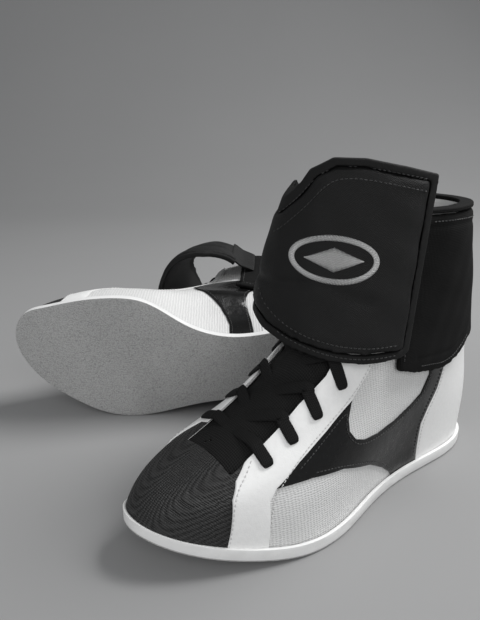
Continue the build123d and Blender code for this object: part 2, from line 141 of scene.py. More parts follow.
def noise(tree, vector, scale, detail=3.0):
    node = tree.nodes.new("ShaderNodeTexNoise")
    node.inputs["Scale"].default_value = scale
    node.inputs["Detail"].default_value = detail
    link(tree, vector, node.inputs["Vector"])
    return node.outputs["Fac"]


def cells(tree, vector, scale):
    node = tree.nodes.new("ShaderNodeTexVoronoi")
    node.inputs["Scale"].default_value = scale
    link(tree, vector, node.inputs["Vector"])
    return node.outputs["Distance"]


def tint(tree, principled, factor, dark, light):
    ramp = tree.nodes.new("ShaderNodeValToRGB")
    ramp.color_ramp.elements[0].color = (*dark, 1)
    ramp.color_ramp.elements[1].color = (*light, 1)
    link(tree, factor, ramp.inputs[0])
    link(tree, ramp.outputs[0], principled.inputs["Base Color"])
    return ramp


def relief(tree, principled, height, depth_mm, strength=1.0):
    node = tree.nodes.new("ShaderNodeBump")
    node.inputs["Distance"].default_value = depth_mm * MM
    node.inputs["Strength"].default_value = strength
    link(tree, height, node.inputs["Height"])
    link(tree, node.outputs[0], principled.inputs["Normal"])


def shine(tree, principled, factor, low, high):
    node = tree.nodes.new("ShaderNodeMapRange")
    node.inputs["To Min"].default_value = low
    node.inputs["To Max"].default_value = high
    link(tree, factor, node.inputs["Value"])
    link(tree, node.outputs[0], principled.inputs["Roughness"])


def grey(value):
    return (value, value, value * 0.99)


def woven(name, dark, light, pitch, angle, depth, roughness, wear=0.25, **sockets):
    """Cloth with two crossing sets of yarns, a little uneven from place to place, with painted shade where
    the yarns dip.
    """
    made, tree, principled = shader(name, grey(light), roughness, **sockets)
    vector, u, v = surface_mm(tree)
    yarns = calc(tree, "MULTIPLY", ribs(tree, u, v, angle, pitch),
                 ribs(tree, u, v, angle + 90, pitch))
    uneven = noise(tree, vector, 0.09)
    height = calc(tree, "ADD", calc(tree, "MULTIPLY", yarns, 0.5), 0.5)
    # Colour follows the yarns' height: painted shade where they dip, mixed with random unevenness.
    mixed = calc(tree, "ADD", calc(tree, "MULTIPLY", height, 1 - wear),
                 calc(tree, "MULTIPLY", uneven, wear))
    tint(tree, principled, mixed, grey(dark), grey(light))
    shine(tree, principled, uneven, roughness * 0.9, min(1.0, roughness * 1.12))
    relief(tree, principled, height, depth)
    return made


def open_mesh(name, dark, light, pitch, depth, roughness, **sockets):
    """Sandwich mesh: rows of small round holes in staggered rows, with painted shade inside the holes."""
    made, tree, principled = shader(name, grey(light), roughness, **sockets)
    vector, u, v = surface_mm(tree)
    stray = calc(tree, "MULTIPLY", noise(tree, vector, 0.25), pitch * 0.9)
    u, v = calc(tree, "ADD", u, stray), calc(tree, "SUBTRACT", v, stray)
    rows = calc(tree, "MULTIPLY", ribs(tree, u, v, 60, pitch), ribs(tree, u, v, 120, pitch))
    rows = calc(tree, "ADD", calc(tree, "MULTIPLY", rows, 0.5), 0.5)
    holes = calc(tree, "POWER", rows, 1.6)
    fuzz = noise(tree, vector, 1.4, 2.0)
    uneven = noise(tree, vector, 0.06)
    # The holes are painted dark, as painted shade in them, mixed with random unevenness.
    mixed = calc(tree, "ADD", calc(tree, "MULTIPLY", holes, 0.75),
                 calc(tree, "MULTIPLY", uneven, 0.3))
    tint(tree, principled, mixed, grey(light), grey(dark))
    shine(tree, principled, uneven, roughness * 0.85, min(1.0, roughness * 1.15))
    height = calc(tree, "SUBTRACT", calc(tree, "MULTIPLY", fuzz, 0.25), holes)
    relief(tree, principled, height, depth)
    return made


def hide(name, dark, light, roughness, crease=0.35, **sockets):
    """Coated leather: fine pebble grain, shallow creases, scuffs that dull the shine."""
    made, tree, principled = shader(name, grey(light), roughness, **sockets)
    vector, _, _ = surface_mm(tree)
    grain = cells(tree, vector, 1.3)
    creases = noise(tree, vector, 0.12, 5.0)
    scuffs = noise(tree, vector, 0.35, 6.0)
    tint(tree, principled, scuffs, grey(dark), grey(light))
    shine(tree, principled, scuffs, roughness * 0.7, roughness * 1.5)
    height = calc(tree, "ADD", calc(tree, "MULTIPLY", grain, 0.12),
                  calc(tree, "MULTIPLY", creases, crease))
    relief(tree, principled, height, 0.5)
    return made


def pebbled_rubber():
    """Tread: a close stipple of rounded grains with painted shade in the gaps between them, paler where it
    has rubbed.
    """
    made, tree, principled = shader("tread_rubber", grey(0.40), 0.7)
    vector, _, _ = surface_mm(tree)
    grains = cells(tree, vector, 0.95)
    fine = cells(tree, vector, 2.1)
    rubbed = noise(tree, vector, 0.02)
    height = calc(tree, "ADD", calc(tree, "MULTIPLY", grains, -1.0),
                  calc(tree, "MULTIPLY", fine, -0.5))
    # Painted shade: the colour darkens into the low gaps between the grains, plus random patches of wear.
    mixed = calc(tree, "ADD", calc(tree, "MULTIPLY", grains, 0.8),
                 calc(tree, "MULTIPLY", rubbed, 0.35))
    tint(tree, principled, mixed, grey(0.52), grey(0.27))
    relief(tree, principled, height, 0.55)
    return made


def sidewall_rubber():
    """Smooth white rubber, a little dusty."""
    made, tree, principled = shader("sidewall_rubber", grey(0.80), 0.42, Specular_IOR_Level=0.5)
    vector, _, _ = surface_mm(tree)
    dust = noise(tree, vector, 0.08, 6.0)
    fine = noise(tree, vector, 1.2, 3.0)
    tint(tree, principled, dust, grey(0.70), grey(0.84))
    shine(tree, principled, dust, 0.34, 0.55)
    relief(tree, principled, fine, 0.12)
    return made


def tape(name, pitch, light):
    """Hook or loop tape: a nap of tiny tufts."""
    made, tree, principled = shader(name, grey(light), 0.95, Sheen_Weight=0.4)
    vector, _, _ = surface_mm(tree)
    tufts = cells(tree, vector, 1 / pitch)
    nap = noise(tree, vector, 1.7, 4.0)
    tint(tree, principled, calc(tree, "MULTIPLY", tufts, nap), grey(light * 2.4), grey(light * 0.5))
    relief(tree, principled, calc(tree, "ADD", tufts, nap), 0.4)
    return made


def thread(name, dark, light, roughness, pitch=0.7, metallic=0.0):
    """Close lines of sewing thread, with painted shade in the grooves between the strands."""
    made, tree, principled = shader(name, grey(light), roughness, Metallic=metallic, Sheen_Weight=0.2)
    vector, u, v = surface_mm(tree)
    strands = calc(tree, "ADD", calc(tree, "MULTIPLY", ribs(tree, u, v, 78, pitch), 0.5), 0.5)
    uneven = noise(tree, vector, 0.5)
    # Painted shade in the grooves between the strands, broken up by random unevenness.
    tint(tree, principled, calc(tree, "MULTIPLY", strands, uneven), grey(dark), grey(light))
    relief(tree, principled, strands, 0.22)
    return made


WHITE_MESH = open_mesh("white_side_mesh", 0.50, 0.72, 2.2, 0.35, 0.55, Sheen_Weight=0.2)
BLACK_MESH = open_mesh("black_toe_mesh", 0.003, 0.036, 3.0, 0.7, 0.55, Specular_IOR_Level=0.3)
WHITE_HIDE = hide("white_eyestay_leather", 0.74, 0.84, 0.36)
BLACK_GLOSS = hide("black_gloss_leather", 0.003, 0.008, 0.22, 0.8, Specular_IOR_Level=0.25,
                   Coat_Weight=0.12, Coat_Roughness=0.1)
CUFF_CLOTH = woven("cuff_knit", 0.002, 0.011, 1.5, 45, 0.25, 0.85, Specular_IOR_Level=0.12)
STRAP_CLOTH = woven("strap_satin_weave", 0.002, 0.009, 1.1, 20, 0.25, 0.5, Specular_IOR_Level=0.22)
STRAP_TAPE = woven("strap_edge_tape", 0.002, 0.012, 0.9, 60, 0.2, 0.65, Specular_IOR_Level=0.2)
LINING_CLOTH = woven("white_lining_weave", 0.52, 0.78, 1.0, 0, 0.2, 0.7, Sheen_Weight=0.2)
TONGUE_CLOTH = woven("black_tongue_knit", 0.002, 0.016, 1.8, 45, 0.35, 0.85, Specular_IOR_Level=0.15)
LACE_BRAID = woven("black_lace_braid", 0.002, 0.012, 1.5, 35, 0.3, 0.75, Specular_IOR_Level=0.15)
BOARD = woven("board_fibre", 0.30, 0.42, 0.8, 10, 0.1, 0.9)
INSOLE_FOAM = woven("insole_cloth", 0.05, 0.11, 1.2, 45, 0.2, 0.9)
TREAD = pebbled_rubber()
SIDEWALL = sidewall_rubber()
HOOK_TAPE = tape("hook_tape_nap", 1.3, 0.014)
WHITE_THREAD = thread("white_sewing_thread", 0.55, 0.8, 0.5)
BLACK_THREAD = thread("black_sewing_thread", 0.006, 0.03, 0.5)
SILVER_THREAD = thread("silver_embroidery_thread", 0.34, 0.78, 0.32, 0.9, 0.2)
AGLET_PLASTIC = hide("black_aglet_plastic", 0.010, 0.016, 0.25, 0.1)


# ------------------------------------------------------------------ mesh helpers (boot frame, mm)
def local_mesh(node):
    """A copy of the left boot's CAD node in the boot's own frame, welded."""
    mesh = frame["nodes"][f"left_{node}"].data.copy()
    mesh.transform(TO_LOCAL)
    made = bmesh.new()
    made.from_mesh(mesh)
    bmesh.ops.remove_doubles(made, verts=made.verts, dist=0.01)
    bmesh.ops.recalc_face_normals(made, faces=made.faces)
    made.to_mesh(mesh)
    made.free()
    mesh.materials.clear()
    return mesh


def mesh_points(mesh):
    points = np.empty(len(mesh.vertices) * 3)
    mesh.vertices.foreach_get("co", points)
    return points.reshape(-1, 3)


def set_points(mesh, points):
    mesh.vertices.foreach_set("co", np.asarray(points, dtype=np.float32).ravel())
    mesh.update()


def with_modifiers(mesh, *settings):
    """The mesh after a list of (modifier type, {setting: value}), applied."""
    holder = bpy.data.objects.new("holder", mesh)
    bpy.context.scene.collection.objects.link(holder)
    for kind, values in settings:
        modifier = holder.modifiers.new(kind.lower(), kind)
        for key, value in values.items():
            setattr(modifier, key, value)
    bpy.context.view_layer.update()
    evaluated = holder.evaluated_get(bpy.context.evaluated_depsgraph_get())
    result = bpy.data.meshes.new_from_object(evaluated)
    bpy.data.objects.remove(holder)
    return result


def wrapped_coordinates(mesh):
    """UVs in millimetres that run on without a break over the top and round the toe."""
    layer = mesh.uv_layers.get("weave") or mesh.uv_layers.new(name="weave")
    corners = np.empty(len(mesh.loops), dtype=int)
    mesh.loops.foreach_get("vertex_index", corners)
    at = mesh_points(mesh)[corners]
    first = at[:, 1] - at[:, 2] * np.tanh(at[:, 1] / 14)
    second = at[:, 0] - at[:, 2]
    layer.data.foreach_set("uv", np.stack([first, second], 1).ravel())


def flat_coordinates(mesh):
    """UVs in millimetres, by the side that each face looks to."""
    layer = mesh.uv_layers.get("weave") or mesh.uv_layers.new(name="weave")
    points = mesh_points(mesh)
    normals = np.empty(len(mesh.polygons) * 3)
    mesh.polygons.foreach_get("normal", normals)
    sides = np.abs(normals.reshape(-1, 3)).argmax(1)
    totals = np.empty(len(mesh.polygons), dtype=int)
    mesh.polygons.foreach_get("loop_total", totals)
    corners = np.empty(len(mesh.loops), dtype=int)
    mesh.loops.foreach_get("vertex_index", corners)
    side = np.repeat(sides, totals)
    at = points[corners]
    first = np.where(side == 0, at[:, 1], at[:, 0])
    second = np.where(side == 2, at[:, 1], at[:, 2])
    layer.data.foreach_set("uv", np.stack([first, second], 1).ravel())


def place_copy(name, mesh, boot, material):
    """A piece made from a copy of a boot-frame mesh, standing in one boot."""
    copy = mesh.copy()
    copy.transform(PLACES[boot])
    if boot == "right":
        copy.flip_normals()
    copy.materials.clear()
    copy.materials.append(material)
    piece = bpy.data.objects.new(f"{boot}_{name}_look", copy)
    bpy.context.scene.collection.objects.link(piece)
    for polygon in copy.polygons:
        polygon.use_smooth = True
    return piece


def place_pair(name, mesh, body, material, replaced=(), flat=True):
    """One copy of a boot-frame mesh in each boot, riding on its body."""
    if flat:
        flat_coordinates(mesh)
    made = []
    for boot in ("left", "right"):
        piece = place_copy(name, mesh, boot, material)
        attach(piece, f"{boot}_{body}")
        if replaced:
            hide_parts(*[f"{boot}_{node}" for node in replaced])
        made.append(piece)
    return made


def sharpen(mesh, degrees=38):
    """Keeps crisp edges crisp under smooth shading."""
    made = bmesh.new()
    made.from_mesh(mesh)
    for edge in made.edges:
        edge.smooth = len(edge.link_faces) == 2 and edge.calc_face_angle(0) < math.radians(degrees)
    made.to_mesh(mesh)
    made.free()


def spring(x):
    """How high the tread has curled up at a distance from the heel."""
    return 21.0 * np.clip((x - 185.0) / 98.0, 0, None) ** 2


def fill_out(mesh, low, toe):
    """Lets the upper swell out over the sole's edge, more at the toe."""
    points = mesh_points(mesh)
    middle_y = np.where(points[:, 0] > 180, -11.0 * (points[:, 0] - 180) / 103, 0)
    away = np.stack([np.clip(points[:, 0] - 215, 0, None) + np.clip(points[:, 0] - 45, None, 0),
                     points[:, 1] - middle_y], 1)
    away /= np.maximum(np.linalg.norm(away, axis=1, keepdims=True), 1e-6)
    height = points[:, 2] - spring(points[:, 0])
    near_sole = np.clip(1 - (height - 4) / 22, 0, 1) ** 1.5
    at_toe = np.clip((points[:, 0] - 240) / 35, 0, 1) * np.clip(1 - (height - 6) / 34, 0, 1)
    points[:, :2] += away * (low * near_sole + toe * at_toe)[:, None]
    set_points(mesh, points)


def panel(node, material, body="boot", edge=0.35, low=0.0, toe=0.0, wrapped=False):
    """A sewn panel: the CAD layer with its cut edge rounded over."""
    rounding = {"width": edge, "segments": 2, "limit_method": "ANGLE", "angle_limit": math.radians(45),
                "use_clamp_overlap": True}
    mesh = with_modifiers(local_mesh(node), ("BEVEL", rounding))
    if low or toe:
        fill_out(mesh, low, toe)
    sharpen(mesh)
    if wrapped:
        wrapped_coordinates(mesh)
    return place_pair(node, mesh, body, material, (node,), flat=not wrapped)


def soften(node, voxel, rounds):
    """A foam or cloth piece: remeshed finely and smoothed until its edges roll over."""
    remeshed = with_modifiers(local_mesh(node), ("REMESH", {"mode": "VOXEL", "voxel_size": voxel}))
    return with_modifiers(remeshed, ("SMOOTH", {"factor": 0.5, "iterations": rounds}))


def swell(mesh, pressure, cap, steps=16):
    """Cloth simulation with air pressure inside, each point moved no further than a cap (mm)."""
    before = mesh_points(mesh).copy()
    mesh.transform(Matrix.Scale(MM * 10, 4))
    holder = bpy.data.objects.new("swelling", mesh)
    bpy.context.scene.collection.objects.link(holder)
    cloth = holder.modifiers.new("cloth", "CLOTH")
    cloth.settings.use_pressure = True
    cloth.settings.uniform_pressure_force = pressure
    cloth.settings.effector_weights.gravity = 0
    cloth.settings.quality = 5
    cloth.settings.bending_stiffness = 0.6
    cloth.collision_settings.use_collision = False
    scene = bpy.context.scene
    cloth.point_cache.frame_start = 1
    cloth.point_cache.frame_end = steps
    for step in range(1, steps + 1):
        scene.frame_set(step)
    evaluated = holder.evaluated_get(bpy.context.evaluated_depsgraph_get())
    result = bpy.data.meshes.new_from_object(evaluated)
    bpy.data.objects.remove(holder)
    scene.frame_set(1)
    moved = mesh_points(result) / (MM * 10) - before
    reach = np.linalg.norm(moved, axis=1, keepdims=True)
    set_points(result, before + moved * np.minimum(1.0, cap / np.maximum(reach, 1e-9)))
    return result


def tree_of(*meshes):
    """One BVH of several boot-frame meshes."""
    points = []
    faces = []
    for mesh in meshes:
        start = len(points)
        points += [vertex.co.copy() for vertex in mesh.vertices]
        faces += [[start + index for index in polygon.vertices] for polygon in mesh.polygons]
    return BVHTree.FromPolygons(points, faces)


# ------------------------------------------------------------------ sewn panels
for side in ("lateral", "medial"):
    panel(f"side_mesh_{side}", WHITE_MESH, low=0.9)
    panel(f"ankle_mesh_{side}", WHITE_MESH, low=0.9)
    panel(f"eyestay_{side}", WHITE_HIDE, edge=0.4, low=0.5)
    panel(f"saddle_{side}", BLACK_GLOSS, edge=0.45, low=0.5)
panel("heel_counter", BOARD)
panel("heel_cover", WHITE_HIDE, edge=0.4, low=0.5)
panel("toe_vamp", BLACK_MESH, low=0.9, toe=2.2, wrapped=True)
panel("sole_rim", SIDEWALL, edge=0.7)
panel("outsole", TREAD, edge=0.5)
panel("lasting_board", BOARD)
panel("insole", INSOLE_FOAM)
panel("lining", LINING_CLOTH, edge=0.3)
panel("strap_backing", STRAP_CLOTH, "strap")
panel("strap_hook", HOOK_TAPE, "strap")


# ------------------------------------------------------------------ padded pieces
def bulk(mesh):
    """A smooth wave field used to make cloth lie unevenly."""
    points = mesh_points(mesh)
    return (np.sin(points[:, 0] * 0.31 + points[:, 2] * 0.12)
            + np.sin(points[:, 2] * 0.23 - points[:, 0] * 0.09 + points[:, 1] * 0.17)
            + np.sin(points[:, 1] * 0.29 + points[:, 2] * 0.05))


def vertex_normals(mesh):
    normals = np.empty(len(mesh.vertices) * 3)
    mesh.vertices.foreach_get("normal", normals)
    return normals.reshape(-1, 3)


def across_strap(points):
    """Places in the strap's own front view: across (lateral end to the right) and height."""
    return points[:, 0] * -FACING_Y + points[:, 1] * FACING_X, points[:, 2]


def line_distance(u, v, line):
    """Distance of points (u, v) to a polyline."""
    best = np.full(len(u), 1e9)
    for (ax, ay), (bx, by) in zip(line, line[1:]):
        dx, dy = bx - ax, by - ay
        share = np.clip(((u - ax) * dx + (v - ay) * dy) / (dx * dx + dy * dy), 0, 1)
        best = np.minimum(best, np.hypot(u - ax - share * dx, v - ay - share * dy))
    return best


def groove(mesh, u, v, line, width, depth):
    """Presses a soft line into the mesh along its normals."""
    pressed = depth * np.exp(-(line_distance(u, v, line) / width) ** 2)
    set_points(mesh, mesh_points(mesh) - vertex_normals(mesh) * pressed[:, None])


def rumple(mesh, amount):
    """Lets cloth lie unevenly, in and out by up to about three times an amount."""
    set_points(mesh, mesh_points(mesh) + vertex_normals(mesh) * amount * bulk(mesh)[:, None])


def finish_soft(mesh, levels=1):
    """Smooth cloth from a coarse mesh."""
    return with_modifiers(mesh, ("SUBSURF", {"levels": levels, "render_levels": levels}))


def drop_corner(mesh):
    """Rounds off the top corner where the strap folds back to its sewn side."""
    points = mesh_points(mesh)
    share = np.clip((-points[:, 1] - 20) / 8, 0, 1)
    over = np.clip(points[:, 2] - 200, 0, None)
    points[:, 2] -= share * over * 0.85
    set_points(mesh, points)


STRAP_CREASE = [(-152, 141), (-119, 145.5), (-86, 137)]                          # across the strap, height
CUFF_SEAMS = ([(20, 96), (60, 88), (100, 93)], [(16, 172), (60, 176), (108, 176)])   # x, height


def make_cuff():
    mesh = swell(soften("cuff", 1.5, 5), 3.0, 0.5)
    points = mesh_points(mesh)
    for seam in CUFF_SEAMS:
        groove(mesh, points[:, 0], points[:, 2], seam, 1.2, 0.6)
    rumple(mesh, 0.14)
    mesh = finish_soft(mesh)
    for piece in place_pair("cuff", mesh, "boot", CUFF_CLOTH, ("cuff",)):
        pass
    return mesh


def make_cuff_binding():
    mesh = finish_soft(soften("cuff_binding", 0.7, 6))
    place_pair("cuff_binding", mesh, "boot", CUFF_CLOTH, ("cuff_binding",))


def make_tongue():
    mesh = swell(soften("tongue", 1.1, 4), 2.0, 0.5)
    rumple(mesh, 0.1)
    for piece in place_pair("tongue", finish_soft(mesh), "boot", TONGUE_CLOTH, ("tongue",)):
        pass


def make_strap_pad():
    mesh = swell(soften("strap_pad", 1.6, 4), 3.0, 0.6)
    drop_corner(mesh)
    groove(mesh, *across_strap(mesh_points(mesh)), STRAP_CREASE, 3.2, 1.3)
    rumple(mesh, 0.16)
    mesh = finish_soft(mesh)
    for piece in place_pair("strap_pad", mesh, "strap", STRAP_CLOTH, ("strap_pad",)):
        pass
    return mesh


def make_strap_binding():
    mesh = finish_soft(soften("strap_binding", 0.9, 4))
    drop_corner(mesh)
    groove(mesh, *across_strap(mesh_points(mesh)), STRAP_CREASE, 3.0, 0.8)
    place_pair("strap_binding", mesh, "strap", STRAP_TAPE, ("strap_binding",))
    return mesh


cuff = make_cuff()
make_cuff_binding()
make_tongue()
strap = make_strap_pad()
edge_tape = make_strap_binding()


def strap_roots():
    """The fold of cloth that joins each strap's sewn edge to its cuff."""
    path = [(78.0, -41.2), (84.0, -42.6), (90.0, -44.8), (95.0, -48.0), (98.5, -51.5), (101.5, -53.5)]
    profile = [(x, y, 1.0) for x, y in path] + [(x - 0.6, y - 1.7, -1.0) for x, y in reversed(path)]
    heights = np.linspace(121.0, 183.5, 26)
    half = (len(heights) - 1) / 2
    points = []
    for i, height in enumerate(heights):
        lean = (LEFT_HINGE[2] - height) * 0.07
        taper = 1.0 - 0.35 * (abs(i - half) / half) ** 6
        ripple = 0.25 * math.sin(height * 0.9)
        points += [(x + lean, y * (0.995 + 0.005 * taper) + ripple * face, height)
                   for x, y, face in profile]
    wide = len(profile)
    faces = [(a * wide + b, a * wide + (b + 1) % wide, (a + 1) * wide + (b + 1) % wide, (a + 1) * wide + b)
             for a in range(len(heights) - 1) for b in range(wide)]
    faces += [tuple(range(wide)), tuple(range((len(heights) - 1) * wide, len(heights) * wide))]
    mesh = bpy.data.meshes.new("strap_root")
    mesh.from_pydata(points, [], faces)
    fixed = bmesh.new()
    fixed.from_mesh(mesh)
    bmesh.ops.recalc_face_normals(fixed, faces=fixed.faces)
    fixed.to_mesh(mesh)
    fixed.free()
    mesh = finish_soft(mesh, 2)
    flat_coordinates(mesh)
    for boot in ("left", "right"):
        piece = place_copy("strap_root", mesh, boot, STRAP_CLOTH)
        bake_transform(piece)


strap_roots()


# ------------------------------------------------------------------ sewing
def resample(line, pitch):
    """Points at even steps along a polyline."""
    line = [np.array(point, float) for point in line]
    made = [line[0]]
    left = pitch
    for start, end in zip(line, line[1:]):
        length = np.linalg.norm(end - start)
        at = left
        while at <= length:
            made.append(start + (end - start) * at / length)
            at += pitch
        left = at - length
    return made


def smooth_line(line, rounds=2):
    """Corners cut off a polyline."""
    points = [np.array(point, float) for point in line]
    for _ in range(rounds):
        cut = [points[0]]
        for a, b in zip(points, points[1:]):
            cut += [a * 0.75 + b * 0.25, a * 0.25 + b * 0.75]
        points = cut + [points[-1]]
    return points


def capsule(made, start, end, radius, up):
    """A short thread between two points, sunk at both ends."""
    along = (end - start).normalized()
    side = along.cross(up).normalized()
    top = side.cross(along)
    rings = []
    for share, lift, scale in ((0, -0.5, 0.5), (0.2, 0.15, 0.95), (0.5, 0.3, 1.0), (0.8, 0.15, 0.95),
                               (1, -0.5, 0.5)):
        middle = start.lerp(end, share) + up * (radius * lift)
        rings.append([made.verts.new(middle + (side * math.cos(turned) + top * math.sin(turned))
                                     * (radius * scale))
                      for turned in (i * math.pi / 3 for i in range(6))])
    for ring, after in zip(rings, rings[1:]):
        for i in range(6):
            made.faces.new((ring[i], ring[(i + 1) % 6], after[(i + 1) % 6], after[i]))
    made.faces.new(list(reversed(rings[0])))
    made.faces.new(rings[-1])


def side_hits(tree, line, side, pitch):
    """Where a side-view line (x, z) meets the boot's skin, seen from one side."""
    hits = []
    for x, z in resample(smooth_line(line), pitch):
        place, normal, _, _ = tree.ray_cast(Vector((x, side * BEYOND_SIDE, z)), Vector((0, -side, 0)))
        hits.append((place, normal) if place else None)
    return hits


def strap_face(tree, u, v):
    """The place and normal of the strap's outer face at a point of its front view."""
    start = Vector((-FACING_Y * u, FACING_X * u, v)) + Vector((FACING_X, FACING_Y, 0)) * BEYOND_STRAP
    place, normal, _, _ = tree.ray_cast(start, Vector((-FACING_X, -FACING_Y, 0)))
    return place, normal


def strap_hits(tree, line, pitch):
    """Where a line in the strap's front view meets the strap's outer face."""
    hits = []
    for u, v in resample(smooth_line(line), pitch):
        place, normal = strap_face(tree, u, v)
        hits.append((place, normal) if place else None)
    return hits


def sew(name, runs, body, material, length=STITCH_LENGTH, radius=STITCH_RADIUS):
    """Stitches along runs of surface hits, one stitch to every step."""
    widest_gap = 2.2 * STITCH_PITCH
    made = bmesh.new()
    for hits in runs:
        for here, there in zip(hits, hits[1:]):
            if not here or not there or (there[0] - here[0]).length > widest_gap:
                continue
            up = (here[1] + there[1]).normalized()
            start = here[0] + up * radius * 0.35
            along = there[0] - here[0]
            end = start + along.normalized() * min(length, along.length * 0.8)
            capsule(made, start, end, radius, up)
    mesh = bpy.data.meshes.new(name)
    made.to_mesh(mesh)
    made.free()
    return place_pair(name, mesh, body, material)


# Rows of stitches, as (x, z) in side view: each runs inside the edge of its panel.
EYESTAY_REAR = [(223, 14), (220.5, 28), (218.5, 37), (213, 45), (196, 56.5), (172, 67.5), (151, 79.5),
                (137.5, 92), (127, 107), (118, 126), (112, 150), (108.5, 176)]
EYESTAY_FRONT = [(222.5, 57.5), (229, 52.5), (236, 47), (240, 40), (243, 25), (245, 14)]
SADDLE_TOP = [(199, 50.5), (196, 52), (173, 63), (156, 72), (159.5, 66), (160.5, 59), (155.5, 51.8),
              (146.5, 48.6), (132, 47.6), (113.5, 49.6), (95.5, 54.6), (82.5, 60), (73.5, 72), (71, 84)]
SADDLE_BOTTOM = [(58.5, 72), (64, 61), (73, 49), (79.2, 37), (80.3, 22), (81, 10)]
SADDLE_FRONT = [(99, 9), (103, 6), (108.5, 13.5), (119, 21.4), (137, 32.4), (168, 43.4),
                (192, 46.4)]
MEDIAL_FRONT = [(102.7, 11), (102.7, 27.5), (105.8, 37), (111, 46.5), (117.3, 52.7), (124, 59.3),
                (131.8, 71), (135.5, 88)]
MEDIAL_REAR = [(87.3, 12), (88.3, 31), (90.3, 42), (92.3, 51), (92.3, 58.5), (89.3, 71), (84.5, 80)]
HEEL_LINE = [(54, 74), (59.5, 58.5), (68.5, 46), (74.5, 35.5), (75.5, 21), (76.3, 12)]

SEWN = ("side_mesh_lateral", "side_mesh_medial", "ankle_mesh_lateral", "ankle_mesh_medial",
        "eyestay_lateral", "eyestay_medial", "saddle_lateral", "saddle_medial", "heel_cover", "toe_vamp")
boot_skin = tree_of(*(local_mesh(node) for node in SEWN))
white_lines = []
black_lines = []
for side, saddle_lines in ((1, (SADDLE_TOP, SADDLE_BOTTOM, SADDLE_FRONT)),
                           (-1, (MEDIAL_FRONT, MEDIAL_REAR))):
    white_lines += [side_hits(boot_skin, line, side, STITCH_PITCH)
                    for line in (EYESTAY_REAR, EYESTAY_FRONT, HEEL_LINE)]
    black_lines += [side_hits(boot_skin, line, side, STITCH_PITCH) for line in saddle_lines]
sew("panel_stitches", white_lines, "boot", WHITE_THREAD)
sew("saddle_stitches", black_lines, "boot", BLACK_THREAD)

strap_skin = tree_of(strap, edge_tape)
# Two rows round the strap, in its own front view: on the edge tape and just inside it.
STRAP_EDGE = [(-70, 104), (-90, 103.5), (-111, 105.5), (-132, 110), (-147, 116), (-159.5, 129),
              (-160, 164), (-141.5, 180), (-127.5, 194), (-118, 206.5), (-107, 212.8), (-90, 212.8),
              (-66, 208.5), (-52, 205.5)]
STRAP_INNER = [(-70, 110.5), (-90, 110), (-109, 112), (-130, 116.5), (-142, 122), (-153, 132.5),
               (-153.5, 161), (-137, 176), (-122.5, 190.5), (-113.5, 201.5), (-104.5, 206),
               (-90, 206), (-66, 201.5), (-54, 199)]
sew("strap_stitches", [strap_hits(strap_skin, line, STITCH_PITCH) for line in (STRAP_EDGE, STRAP_INNER)],
    "strap", BLACK_THREAD)
cuff_skin = tree_of(cuff)
CUFF_ROUND = ([(30, 91), (45, 84.5), (64, 81), (80, 84), (96, 87)], [(33, 177), (60, 179), (95, 179.5)])
CUFF_FRONT = {1: [(112.5, 94), (109, 120), (104.5, 150), (100, 177)],
              -1: [(91.5, 92), (89.5, 120), (87.5, 150), (86, 177)]}
cuff_lines = [side_hits(cuff_skin, line, side, STITCH_PITCH) for side in (1, -1) for line in CUFF_ROUND]
cuff_lines += [side_hits(cuff_skin, line, side, STITCH_PITCH) for side, line in CUFF_FRONT.items()]
sew("cuff_stitches", cuff_lines, "boot", BLACK_THREAD)


# ------------------------------------------------------------------ embroidered motif
MOTIF_THREAD = 0.36


def satin_stitches():
    """Close rows of silver thread standing for the sewn oval ring and lozenge."""
    made = bmesh.new()
    middle_u, middle_v, half_u, half_v, ring = -108.0, 160.0, 26.0, 14.0, 3.4
    lozenge_u, lozenge_v = 17.3, 7.0
    ring_stitches, lozenge_stitches = 190, 25
    slant = 0.05

    def on_strap(u, v):
        place, normal = strap_face(strap_skin, u, v)
        return place + normal * 0.35, normal

    def stitch(a, b):
        (start, up), (end, _) = on_strap(*a), on_strap(*b)
        capsule(made, start, end, MOTIF_THREAD, up)

    for i in range(ring_stitches):
        turned = 2 * math.pi * i / ring_stitches
        slanted = turned + slant
        stitch((middle_u + half_u * math.cos(turned), middle_v + half_v * math.sin(turned)),
               (middle_u + (half_u - ring) * math.cos(slanted),
                middle_v + (half_v - ring) * math.sin(slanted)))
    for i in range(1 - lozenge_stitches, lozenge_stitches):
        share = i / lozenge_stitches
        reach = lozenge_v * (1 - abs(share))
        stitch((middle_u + share * lozenge_u - 0.3, middle_v - reach),
               (middle_u + share * lozenge_u + 0.3, middle_v + reach))
    mesh = bpy.data.meshes.new("motif")
    made.to_mesh(mesh)
    made.free()
    return mesh


place_pair("strap_motif", satin_stitches(), "strap", SILVER_THREAD, ("strap_motif",))


# ------------------------------------------------------------------ laces
# Rows from the toe up, as in the CAD: x and z where a search line starts, its direction, and how far
# the holes and the throat's edge are from the centre line.
DOWN = (0, 0, -1)
BACK = (-1, 0, 0)
THROAT_ROWS = [
    (216, 90, DOWN, 29.5, 20),
    (197, 100, DOWN, 29.5, 20),
    (178, 110, DOWN, 29.5, 20),
    (158, 130, DOWN, 29.5, 20),
    (190, 118, BACK, 22.5, 17),
    (190, 136, BACK, 22.5, 17),
    (190, 155, BACK, 22.5, 17),
]
eyestay_skin = tree_of(local_mesh("eyestay_lateral"), local_mesh("eyestay_medial"))


def throat_point(row, side, reach):
    """Where the search line of a lace row first meets the eyestay squarely, going outwards from a reach."""
    x, z, direction, _, _ = THROAT_ROWS[row]
    hits = []
    for outwards in range(-4, 12):
        start = Vector((x, side * (reach + 0.7 * outwards), z))
        place, normal, _, _ = eyestay_skin.ray_cast(start, Vector(direction))
        if place:
            glancing = abs(normal.dot(Vector(direction))) < 0.25
            hits.append((outwards < 0, glancing, len(hits), place, normal))
    return min(hits, key=lambda hit: hit[:3])[3:]


